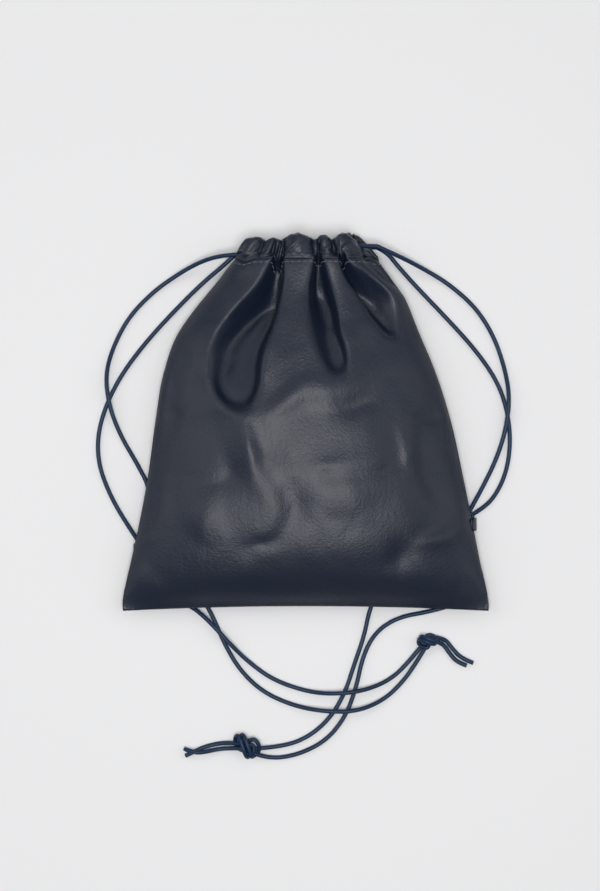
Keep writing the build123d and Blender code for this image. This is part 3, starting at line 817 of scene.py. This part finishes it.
# The top edge of each channel: x, y.
FRONT_TOP_EDGE = [(-44, 109.0), (-37, 113.2), (-27, 113.6), (-24.5, 112.0), (-20, 113.0),
                  (-15, 110.8), (-12, 113.6), (-4.5, 115.8), (2, 113.8), (5.5, 111.5),
                  (9.5, 114.0), (12, 114.2), (16.5, 111.8), (20, 115.6), (25, 116.0),
                  (30, 112.5), (36, 105.0)]
BACK_TOP_EDGE = [(-44, 106.5), (-38, 111.0), (-28, 112.0), (-14, 110.5), (-2, 112.0), (10, 111.5),
                 (18, 114.5), (26.7, 117.6), (32, 115.0), (38, 109.0), (44, 101.5)]


# A sleeve narrows by this share from its stitch line to its top edge.
NARROWING = 0.20
NARROW_FROM = 100.0
NARROW_OVER = 16.0
# Room from the cord's middle to the outer and the inner face, and the radius of the top fold.
ROOM_OUT = 2.5
ROOM_IN = 2.7
TOP_FOLD = 1.6
INNER_EDGE_Y = 101.0
LEAST_Z = 0.5
# How much fuller the leather of a sleeve is than its gathered rows, and how much of the
# panels' thickness it has.
FULLER = 1.12
SLEEVE_SHARE = 0.75


def hump_line(humps, x):
    """Height of the gathered leather over its tucks at each x."""
    height = np.zeros_like(x)
    for start, end, rise in humps:
        share = np.clip(1 - ((x - (start + end) / 2) / ((end - start) / 2)) ** 2, 0, 1)
        height = np.maximum(height, rise * np.sqrt(share))
    return height


def narrowed(y):
    """The width that a sleeve keeps at each y, as a share."""
    return 1 - NARROWING * np.clip((y - NARROW_FROM) / NARROW_OVER, 0, 1)


def sleeve_grid(seam_row, humps, top_edge, side, cord_z, seed):
    """A channel as one strip: up its outer face, over the top edge and down its inner face.

    seam_row is the stitch line, side is 1 for the front and -1 for the back, and cord_z gives
    the height of the cord's middle at an x."""
    columns = len(seam_row)
    outer_rows, fold_rows, inner_rows = 14, 5, 9
    total = outer_rows + fold_rows + inner_rows
    x0, y0, z0 = seam_row.T
    edge = np.array(top_edge)
    edge_x = edge[:, 0] / narrowed(edge[:, 1])
    top_y = np.interp(x0, edge_x, edge[:, 1])
    middle = cord_z(x0)
    crest = middle + side * (ROOM_OUT + hump_line(humps, x0 * 0.91) * 1.6)
    crest = np.maximum(crest, LEAST_Z)
    grid = np.zeros((total, columns, 3))
    for row in range(total):
        if row < outer_rows:
            t = row / (outer_rows - 1)
            y = y0 + (top_y - TOP_FOLD - y0) * t
            rise = ease(t / 0.42)
            z = z0 * (1 - rise) + crest * rise
            z = z + side * 0.8 * np.sin(np.pi * np.clip((t - 0.1) / 0.9, 0, 1))
        elif row < outer_rows + fold_rows:
            angle = math.pi * (row - outer_rows + 1) / (fold_rows + 1)
            y = top_y - TOP_FOLD + TOP_FOLD * math.sin(angle)
            far = middle - side * ROOM_IN
            z = crest + (far - crest) * (1 - math.cos(angle)) / 2
        else:
            t = (row - outer_rows - fold_rows) / (inner_rows - 1)
            y = (top_y - TOP_FOLD) * (1 - t) + INNER_EDGE_Y * t
            z = middle - side * (ROOM_IN + 0.5 * hump_line(humps, x0 * 0.97 + 3))
        grid[row] = np.stack([x0 * narrowed(y), np.broadcast_to(y, x0.shape), z], -1)
    # The leather is a little fuller than the gathered rows, so it rumples as it settles.
    steps = np.linalg.norm(np.diff(grid, axis=1), axis=2)
    across = FULLER * np.concatenate([np.zeros((total, 1)), np.cumsum(steps, axis=1)], axis=1)
    rows_at = np.r_[0, np.cumsum(np.linalg.norm(np.diff(grid, axis=0), axis=2).mean(1))]
    flat = np.stack([across, np.repeat(rows_at[:, None], columns, 1)], -1)
    rumple = lattice_noise(flat[..., 0] / 4.2, flat[..., 1] / 8.0, seed) * 0.7
    rumple = rumple + lattice_noise(flat[..., 0] / 2.2, flat[..., 1] / 4.0, seed + 1) * 0.28
    free = ease(np.minimum(np.arange(total), total - 1 - np.arange(total)) / 3)[:, None]
    grid = grid + normals_of(grid) * (rumple * free)[..., None] * side
    return grid, flat


def front_cord_z(x):
    """Height of the cords' middle in the front channel."""
    return np.interp(np.abs(x), [16, 44], [19.5, 13.9])


def back_cord_z(x):
    """Height of the cords' middle in the back channel."""
    return np.interp(np.abs(x), [16, 44], [4.3, 5.2])


# ------------------------------------------------------------------ stitches
# How far the channel's thread stands off the leather, and the seams' thread is sunk in them.
CHANNEL_THREAD_OUT = 0.15
SEAM_THREAD_IN = 0.9
# A seam's stitches are shorter than a channel's by this share.
SEAM_STITCH_SHARE = 0.6


def stitch_tree():
    """Stitches of thread along a line whose points carry the direction of the leather's face."""
    tree = bpy.data.node_groups.new("row of stitches", "GeometryNodeTree")
    face = tree.interface
    face.new_socket("Geometry", in_out="INPUT", socket_type="NodeSocketGeometry")
    for label, kind, value in (
        ("Pitch", "NodeSocketFloat", 0.0037), ("Stitch length", "NodeSocketFloat", 0.0025),
        ("Thread", "NodeSocketFloat", 0.0006), ("Lean", "NodeSocketFloat", 0.1),
        ("Seed", "NodeSocketInt", 4), ("Material", "NodeSocketMaterial", None),
    ):
        socket = face.new_socket(label, in_out="INPUT", socket_type=kind)
        if value is not None:
            socket.default_value = value
    face.new_socket("Geometry", in_out="OUTPUT", socket_type="NodeSocketGeometry")
    entry = tree.nodes.new("NodeGroupInput").outputs
    leave = tree.nodes.new("NodeGroupOutput")
    line = node(tree, "GeometryNodeMeshToCurve", [(0, entry["Geometry"])])
    links = [("Curve", line.outputs[0]), ("Length", entry["Pitch"])]
    even = node(tree, "GeometryNodeResampleCurve", links, mode="LENGTH")
    half = sum_of(tree, "MULTIPLY", entry["Stitch length"], 0.5)
    minus = sum_of(tree, "MULTIPLY", half, -1.0)
    sunk = sum_of(tree, "MULTIPLY", entry["Thread"], -0.55)
    proud = sum_of(tree, "MULTIPLY", entry["Thread"], 0.9)
    start = node(tree, "ShaderNodeCombineXYZ", [("X", minus), ("Z", sunk)])
    top = node(tree, "ShaderNodeCombineXYZ", [("Z", proud)])
    end = node(tree, "ShaderNodeCombineXYZ", [("X", half), ("Z", sunk)])
    links = [("Resolution", 6), ("Start", start.outputs[0]), ("Middle", top.outputs[0]),
             ("End", end.outputs[0])]
    bow = node(tree, "GeometryNodeCurveQuadraticBezier", links)
    radius = sum_of(tree, "MULTIPLY", entry["Thread"], 0.5)
    ring = node(tree, "GeometryNodeCurvePrimitiveCircle", [("Resolution", 6), ("Radius", radius)])
    links = [("Curve", bow.outputs[0]), ("Profile Curve", ring.outputs[0]), ("Fill Caps", True)]
    stitch = node(tree, "GeometryNodeCurveToMesh", links)
    # Each stitch lies along the line, faces out of the leather and leans a little to one side.
    tangent = node(tree, "GeometryNodeInputTangent")
    outward = node(tree, "GeometryNodeInputNamedAttribute", [("Name", "outward")],
                   data_type="FLOAT_VECTOR")
    along = node(tree, "FunctionNodeAlignRotationToVector", [("Vector", tangent.outputs[0])],
                 axis="X")
    links = [("Rotation", along.outputs[0]), ("Vector", outward.outputs[0])]
    upright = node(tree, "FunctionNodeAlignRotationToVector", links, axis="Z", pivot_axis="X")
    least = sum_of(tree, "MULTIPLY", entry["Lean"], -1.0)
    links = [(2, least), (3, entry["Lean"]), ("Seed", entry["Seed"])]
    lean = node(tree, "FunctionNodeRandomValue", links, data_type="FLOAT")
    turn = node(tree, "ShaderNodeCombineXYZ", [("Z", lean.outputs[1])])
    links = [(0, upright.outputs[0]), (1, turn.outputs[0])]
    turned = node(tree, "FunctionNodeRotateRotation", links, rotation_space="LOCAL")
    links = [("Points", even.outputs[0]), ("Instance", stitch.outputs[0]),
             ("Rotation", turned.outputs[0])]
    row = node(tree, "GeometryNodeInstanceOnPoints", links)
    real = node(tree, "GeometryNodeRealizeInstances", [(0, row.outputs[0])])
    links = [(0, real.outputs[0]), ("Material", entry["Material"])]
    paint = node(tree, "GeometryNodeSetMaterial", links)
    tree.links.new(paint.outputs[0], leave.inputs[0])
    return tree


def stitch_row(name, line, outward, pitch, length, thread, seed, lean=0.1):
    """Stitches along the line, which is in mm with one outward direction for each point."""
    mesh = bpy.data.meshes.new(name)
    count = len(line)
    mesh.from_pydata((line * MM).tolist(), [(i, i + 1) for i in range(count - 1)], [])
    field = mesh.attributes.new("outward", "FLOAT_VECTOR", "POINT")
    field.data.foreach_set("vector", outward.ravel())
    piece = link(mesh, name, None)
    if "stitches" not in made:
        made["stitches"] = stitch_tree()
    tree = made["stitches"]
    row = piece.modifiers.new("stitches", "NODES")
    row.node_group = tree
    values = {"Pitch": pitch, "Stitch length": length, "Thread": thread, "Lean": lean, "Seed": seed,
              "Material": finishes()["thread"]}
    for item in tree.interface.items_tree:
        if item.in_out == "INPUT" and item.name in values:
            row[item.identifier] = values[item.name]
    plain_mesh(piece)
    piece.data.shade_smooth()
    if len(piece.data.polygons) == 0 or not piece.data.materials:
        raise RuntimeError(name + " came out empty")
    return piece


# ------------------------------------------------------------------ side tabs
# Each tab: side, x of its outer fold, y of its middle.
TABS = [("left", -107.6, -80.0), ("right", 106.6, -64.0)]
# A tab seen along the bag, from the seam round its loop and back to the seam: how far out
# from its outer fold, and height.
TAB_PATH = [(-1.9, 9.6), (-1.7, 7.4), (-0.9, 5.2), (-0.1, 3.4), (-0.4, 1.2), (-2.2, 0.1),
            (-7.6, 0.1), (-9.4, 1.2), (-9.7, 3.3), (-8.2, 5.1), (-5.0, 6.0), (-4.3, 7.6),
            (-4.1, 9.6)]
# Across a tab: place, and how far its cut edges turn in.
TAB_ACROSS = [(-4.0, 0.28), (-3.9, 0.1), (-3.4, 0.0), (-2.0, 0.0), (0.0, 0.0), (2.0, 0.0),
              (3.4, 0.0), (3.9, 0.1), (4.0, 0.28)]
TAB_SHARE = 0.9
TACK_PITCH = 0.0015
TACK_LENGTH = 0.0013
TACK_LEAN = 0.35
# The cord inside a tab: its length in metres, its node and the strap strand it goes on from.
LOOP_LENGTH = 0.0122
LOOP_CORDS = [
    ("left_cord_in_tab_inner", LEFT_FRONT_STRAND), ("left_cord_in_tab_outer", LEFT_BACK_STRAND),
    ("right_cord_in_tab_inner", RIGHT_FRONT_STRAND),
    ("right_cord_in_tab_outer", RIGHT_BACK_STRAND),
]


def tab_grid(outer, middle_y, sign):
    """A tab folded into a loop, and the same points laid flat."""
    line = smooth_line([(outer + sign * out, height) for out, height in TAB_PATH], 6)
    inward = np.stack([np.gradient(line[:, 1]), -np.gradient(line[:, 0])], -1)
    inward = inward / np.linalg.norm(inward, axis=1, keepdims=True) * -sign
    grid = np.zeros((len(line), len(TAB_ACROSS), 3))
    for column, (offset, tuck) in enumerate(TAB_ACROSS):
        grid[:, column, 0::2] = line - inward * tuck
        grid[:, column, 1] = middle_y + offset
    length = np.r_[0, np.cumsum(np.linalg.norm(np.diff(line, axis=0), axis=1))]
    flat = np.stack(np.meshgrid([offset for offset, _ in TAB_ACROSS], length), -1)
    return grid, flat


# ------------------------------------------------------------------ cords
def cord_curve(name, points, diameter, caps=False):
    """A smooth cord whose route has these points as its control points, in metres."""
    data = bpy.data.curves.new(name, "CURVE")
    data.dimensions = "3D"
    data.bevel_depth = diameter / 2
    data.bevel_resolution = 4
    data.resolution_u = 10
    data.use_fill_caps = caps
    spline = data.splines.new("NURBS")
    spline.points.add(len(points) - 1)
    for point, place in zip(spline.points, points):
        point.co = (*place, 1.0)
    spline.order_u = 3
    spline.use_endpoint_u = True
    spline.use_smooth = True
    piece = bpy.data.objects.new(name, data)
    bpy.context.scene.collection.objects.link(piece)
    data.materials.append(finishes()["cord_leather"])
    return piece


def knot_path(centre, scale, turn, strand):
    """One strand of an overhand knot tied in two, turned by some degrees about its middle."""
    sine, cosine = math.sin(math.radians(turn)), math.cos(math.radians(turn))
    return [
        ((centre[0] + scale * (x * cosine - y * sine)) * MM,
         (centre[1] + scale * (x * sine + y * cosine)) * MM, z * MM)
        for x, y, z in KNOT_STRANDS[strand]
    ]


# ------------------------------------------------------------------ settings
def length_of(name, description, default, least, most):
    """A length that a user may change, in metres."""
    return FloatProperty(name=name, description=description, default=default, min=least, max=most,
                         unit="LENGTH")


def colour_of(name, description, default):
    """A colour that a user may change."""
    return FloatVectorProperty(name=name, description=description, subtype="COLOR",
                               default=default, min=0, max=1)


class BackpackSizes(bpy.types.PropertyGroup):
    """Sizes that a user would change."""

    leather: length_of("Leather", "Thickness of the leather", 0.0012, 0.0006, 0.0025)
    cord: length_of("Cord", "Diameter of the cords", 0.0027, 0.0015, 0.005)
    thread: length_of("Thread", "Diameter of the sewing thread", 0.0005, 0.0003, 0.001)
    stitch_length: length_of("Stitch", "Length of one stitch", 0.0025, 0.001, 0.005)
    stitch_pitch: length_of("Stitch pitch", "Distance from stitch to stitch", 0.0037, 0.002, 0.008)
    seam_pitch: length_of("Seam pitch", "Pitch of the side and bottom seams", 0.006, 0.002, 0.012)
    seed: IntProperty(name="Seed", description="Which rumples the channels get", default=11, min=0)


class BackpackColours(bpy.types.PropertyGroup):
    """Colours that a user would change."""

    leather: colour_of("Leather", "Colour of the bag", (0.0064, 0.0120, 0.0285))
    cord: colour_of("Cord", "Colour of the cords", (0.0050, 0.0225, 0.0620))
    thread: colour_of("Thread", "Colour of the stitches", (0.17, 0.18, 0.21))
    floor: colour_of("Floor", "Colour of the floor", (0.86, 0.86, 0.87))


# ------------------------------------------------------------------ operators
CAMERA_PLACE = (-0.0036, -0.0148, 1.315)
CAMERA_LENS = 85
CAMERA_SENSOR = 36
FLOOR_REACH = 3.0
ROOM_LIGHT = 0.13
# Soft boxes: name, place and size in metres, watts.
LIGHTS = [
    ("overhead_box", (-0.02, -0.28, 1.88), (0.85, 0.85), 21),
    ("left_window", (-1.5, 0.35, 1.25), (1.2, 1.8), 9),
    ("right_window", (1.6, 0.25, 1.3), (1.2, 1.8), 8),
    ("far_window", (0.0, 1.6, 1.5), (2.2, 1.0), 6),
]


def area_light(name, place, size, energy):
    """A soft box of light that faces the bag."""
    light = bpy.data.lights.new(name, "AREA")
    light.shape = "RECTANGLE"
    light.size, light.size_y = size
    light.energy = energy
    lamp = bpy.data.objects.new(name, light)
    bpy.context.scene.collection.objects.link(lamp)
    lamp.location = place
    lamp.rotation_euler = (-Vector(place)).to_track_quat("-Z", "Y").to_euler()


class BACKPACK_OT_stage(bpy.types.Operator):
    """Sets the floor, the soft light and the camera above the bag"""

    bl_idname = "backpack.stage"
    bl_label = "Stage"

    def execute(self, context):
        scene = context.scene
        scene.view_settings.view_transform = "Standard"
        camera = bpy.data.cameras.new("camera")
        camera.lens = CAMERA_LENS
        camera.sensor_width = CAMERA_SENSOR
        camera.clip_start = 0.01
        camera.clip_end = 20
        view = bpy.data.objects.new("camera", camera)
        scene.collection.objects.link(view)
        view.location = CAMERA_PLACE
        scene.camera = view
        ground = bpy.data.meshes.new("floor")
        corners = [(-FLOOR_REACH, -FLOOR_REACH, 0), (FLOOR_REACH, -FLOOR_REACH, 0),
                   (FLOOR_REACH, FLOOR_REACH, 0), (-FLOOR_REACH, FLOOR_REACH, 0)]
        ground.from_pydata(corners, [], [(0, 1, 2, 3)])
        pale, _, shader = new_finish("pale_floor")
        shader.inputs["Base Color"].default_value = (*scene.backpack_colours.floor, 1.0)
        shader.inputs["Roughness"].default_value = 0.8
        shader.inputs["Specular IOR Level"].default_value = 0.2
        link(ground, "floor", pale)
        for light in LIGHTS:
            area_light(*light)
        world = bpy.data.worlds.new("soft_room")
        world.use_nodes = True
        background = world.node_tree.nodes["Background"]
        background.inputs["Color"].default_value = (1.0, 1.0, 1.0, 1.0)
        background.inputs["Strength"].default_value = ROOM_LIGHT
        scene.world = world
        return {"FINISHED"}


class BACKPACK_OT_straps(bpy.types.Operator):
    """Lays the two strands of each shoulder strap"""

    bl_idname = "backpack.straps"
    bl_label = "Shoulder straps"

    def execute(self, context):
        sizes = context.scene.backpack_sizes
        for name, stands_for, body, points, length in STRAP_STRANDS:
            strand = cord_curve(name, points, sizes.cord)
            hand_over(strand, "cord_leather", body, stands_for)
        return {"FINISHED"}


class BACKPACK_OT_tails(bpy.types.Operator):
    """Lays the tails, ties their knots and leaves the tips"""

    bl_idname = "backpack.tails"
    bl_label = "Tails and knots"

    def execute(self, context):
        sizes = context.scene.backpack_sizes
        strands = {}
        for name, stands_for, body, points, length in TAIL_STRANDS:
            strands[name] = cord_curve(name, points, sizes.cord)
            hand_over(strands[name], "cord_leather", body, stands_for)
        knots = {}
        for side, centre, scale, turn, first, second in KNOTS:
            over, under = [row[3][-1] for row in TAIL_STRANDS if row[0].startswith(side)]
            points = [over] + knot_path(centre, scale, turn, 0) + first
            upper = cord_curve(side + "_knot_upper", points, sizes.cord, True)
            points = [under] + knot_path(centre, scale, turn, 1) + second
            lower = cord_curve(side + "_knot_lower", points, sizes.cord, True)
            body = side + "_tail"
            hand_over(upper, "cord_leather", body, body + "_knot", body + "_upper_tip")
            hand_over(lower, "cord_leather", body, body + "_lower_tip")
            knots[body + "_over"], knots[body + "_under"] = upper, lower
        return {"FINISHED"}


class BACKPACK_OT_panels(bpy.types.Operator):
    """Settles the front and back panels over what the bag holds"""

    bl_idname = "backpack.panels"
    bl_label = "Front and back panels"

    def execute(self, context):
        thickness = context.scene.backpack_sizes.leather / MM
        grid, flat = front_panel_grid()
        made["front"] = grid
        sew_sheet("front_leather", "front_panel", grid, flat, thickness, False, SKIVED_STEPS)
        grid, flat = back_panel_grid()
        made["back"] = grid
        sew_sheet("back_leather", "back_panel", grid, flat, thickness, True, SKIVED_STEPS)
        return {"FINISHED"}


class BACKPACK_OT_channels(bpy.types.Operator):
    """Gathers the front and back cord channels on their cords"""

    bl_idname = "backpack.channels"
    bl_label = "Cord channels"

    def execute(self, context):
        sizes = context.scene.backpack_sizes
        thickness = SLEEVE_SHARE * sizes.leather / MM
        jobs = [
            ("front", FRONT_HUMPS, FRONT_TOP_EDGE, 1, front_cord_z, sizes.seed),
            ("back", BACK_HUMPS, BACK_TOP_EDGE, -1, back_cord_z, sizes.seed + 5),
        ]
        for face, humps, top_edge, side, cord_z, seed in jobs:
            grid, flat = sleeve_grid(made[face][-1], humps, top_edge, side, cord_z, seed)
            held = edge_mask(*grid.shape[:2])
            grid = settle(grid, flat, held, 1.2, 8, 0.4, flip=side < 0)
            if side < 0:
                grid[:, :, 2] = np.maximum(grid[:, :, 2], LEAST_Z)
            sew_sheet(face + "_sleeve", face + "_channel", grid, flat, thickness, side < 0)
        return {"FINISHED"}


class BACKPACK_OT_stitching(bpy.types.Operator):
    """Sews the channels, the side seams and the bottom seam"""

    bl_idname = "backpack.stitching"
    bl_label = "Stitching"

    def execute(self, context):
        sizes = context.scene.backpack_sizes
        rows = []
        for face, side, seed in (("front", 1, 3), ("back", -1, 7)):
            outward = normals_of(made[face])[-2] * side
            line = made[face][-2] + outward * CHANNEL_THREAD_OUT
            ends = slice(3, -3)
            rows.append((face + "_channel_threads", line[ends], outward[ends], sizes.stitch_pitch,
                         sizes.stitch_length, face + "_channel_stitching", seed))
        front = made["front"]
        seam_length = SEAM_STITCH_SHARE * sizes.stitch_length
        for name, side, column in (("left", -1, 0), ("right", 1, -1)):
            line = front[4:-3, column] - (side * SEAM_THREAD_IN, 0, 0)
            outward = np.tile((float(side), 0.0, 0.0), (len(line), 1))
            rows.append((name + "_seam_threads", line, outward, sizes.seam_pitch, seam_length,
                         name + "_side_seam_stitching", 9))
        line = front[0, 3:-3] + (0, SEAM_THREAD_IN, 0)
        outward = np.tile((0.0, -1.0, 0.0), (len(line), 1))
        rows.append(("bottom_seam_threads", line, outward, sizes.seam_pitch, seam_length,
                     "bottom_seam_stitching", 10))
        for name, line, outward, pitch, length, stands_for, seed in rows:
            piece = stitch_row(name, line, outward, pitch, length, sizes.thread, seed)
            hand_over(piece, "thread", "bag", stands_for)
        return {"FINISHED"}


class BACKPACK_OT_tabs(bpy.types.Operator):
    """Folds the two side tabs and threads the cords through them"""

    bl_idname = "backpack.tabs"
    bl_label = "Side tabs"

    def execute(self, context):
        sizes = context.scene.backpack_sizes
        for side, outer, middle_y in TABS:
            sign = -1 if side == "left" else 1
            grid, flat = tab_grid(outer, middle_y, sign)
            thickness = TAB_SHARE * sizes.leather / MM
            tab = leather_piece(side + "_loop", grid, flat, thickness, side == "right")
            hand_over(tab, "bag_leather", "bag", side + "_tab")
            steps = np.linspace(-3.0, 3.0, 13)
            line = np.array([(outer - sign * 1.65, middle_y + step, 8.0) for step in steps])
            outward = np.tile((float(sign), 0.0, 0.0), (len(line), 1))
            tack = stitch_row(side + "_loop_threads", line, outward, TACK_PITCH, TACK_LENGTH,
                              sizes.thread, 2, TACK_LEAN)
            hand_over(tack, "thread", "bag", side + "_tab_stitching")
        held = [("left_cord_held", LEFT_HELD, "left_cord_in_channel"),
                ("right_cord_held", RIGHT_HELD, "right_cord_in_channel")]
        for stands_for, strand in LOOP_CORDS:
            x, y, z = strand[-1]
            points = [(x, y, z), (x, y - LOOP_LENGTH / 2, z), (x, y - LOOP_LENGTH, z)]
            held.append((stands_for.replace("cord_in_tab", "loop_cord"), points, stands_for))
        for name, points, stands_for in held:
            hand_over(cord_curve(name, points, sizes.cord), "cord_leather", "bag", stands_for)
        return {"FINISHED"}


class BACKPACK_PT_panel(bpy.types.Panel):
    """Lists the backpack's sizes, colours and pieces"""

    bl_idname = "BACKPACK_PT_panel"
    bl_label = "Leather backpack"
    bl_space_type = "VIEW_3D"
    bl_region_type = "UI"
    bl_category = "Backpack"

    def draw(self, context):
        layout = self.layout
        for group in (context.scene.backpack_sizes, context.scene.backpack_colours):
            box = layout.box()
            for name in group.__annotations__:
                box.prop(group, name)
        for operator in OPERATORS:
            layout.operator(operator.bl_idname)


OPERATORS = (
    BACKPACK_OT_stage,
    BACKPACK_OT_straps,
    BACKPACK_OT_tails,
    BACKPACK_OT_panels,
    BACKPACK_OT_channels,
    BACKPACK_OT_stitching,
    BACKPACK_OT_tabs,
)
CLASSES = (BackpackSizes, BackpackColours, *OPERATORS, BACKPACK_PT_panel)


def register():
    for kind in CLASSES:
        bpy.utils.register_class(kind)
    bpy.types.Scene.backpack_sizes = PointerProperty(type=BackpackSizes)
    bpy.types.Scene.backpack_colours = PointerProperty(type=BackpackColours)


def unregister():
    del bpy.types.Scene.backpack_colours
    del bpy.types.Scene.backpack_sizes
    for kind in reversed(CLASSES):
        bpy.utils.unregister_class(kind)


def main():
    register()
    for step in ("stage", "straps", "tails", "panels", "channels", "stitching", "tabs"):
        getattr(bpy.ops.backpack, step)()


if __name__ == "__main__":
    main()
